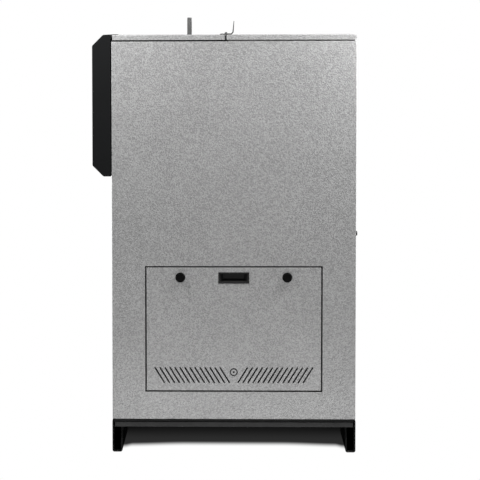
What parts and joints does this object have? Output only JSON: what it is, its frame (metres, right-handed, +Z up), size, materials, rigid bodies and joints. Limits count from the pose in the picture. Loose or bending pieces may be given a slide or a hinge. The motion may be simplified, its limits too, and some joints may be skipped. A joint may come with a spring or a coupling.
{
  "type": "pellet boiler",
  "caption": "Floor-standing pellet boiler with an insulated sheet-steel casing on skids, front console, lift-off service covers and a hinged hopper lid.",
  "frame": {"origin": "on the floor, under the middle of the boiler's box", "axes": "-X is the front with the console, -Y is the boiler's right side, +Z is up; the rear connections face +X"},
  "size_m": [0.892, 0.624, 1.468],
  "materials": {
    "base": "black powder coat, satin",
    "casing": "grey hammertone powder coat",
    "trim": "black moulded nylon, fine grain",
    "zinc": "zinc-plated steel",
    "ironwork": "dark grey chemically blackened steel",
    "handle": "satin grey enamel on a square steel bar",
    "console": "black, satin",
    "glass": "dark display glass",
    "rubber": "black sponge rubber",
    "hopper": "galvanised sheet",
    "flue": "plain steel, smoke-brown inside"
  },
  "bodies": {
    "casing": {"skid_front": "base", "skid_rear": "base", "base_rail_right": "base", "base_rail_left": "base", "base_plate": "base", "side_panel_right": "casing", "side_panel_left": "casing", "front_panel": "casing", "back_panel": "casing", "access_cover_right": "casing", "access_cover_left": "casing", "front_cover": "casing", "cover_knobs_right": "trim", "cover_knobs_left": "trim", "grip_right": "trim", "grip_left": "trim", "grip_front": "trim", "lock_ring_right": "trim", "lock_ring_left": "trim", "lock_ring_front": "trim", "lock_core_right": "zinc", "lock_core_left": "zinc", "lock_core_front": "zinc", "console_cover": "console", "display_window": "glass", "power_switch": "trim", "top_crossbar": "casing", "lid_seal": "rubber", "top_cover_seal": "rubber", "top_cover": "casing", "hinge_leaves_cover": "ironwork", "hinge_pins": "ironwork", "lid_stop": "ironwork", "hopper_bin": "hopper", "hopper_funnel": "hopper", "flue_socket": "flue", "flow_socket": "zinc", "return_socket": "zinc", "cable_gland": "trim"},
    "lid": {"hopper_lid": "casing", "lid_handle": "handle", "hinge_leaves_lid": "ironwork"}
  },
  "joints": [
    {"name": "lid_hinge", "type": "hinge", "parent": "casing", "child": "lid", "pos_m": [0.002, 0, 1.4138], "axis": [0, 1, 0], "range_deg": [0, 120]}
  ]
}
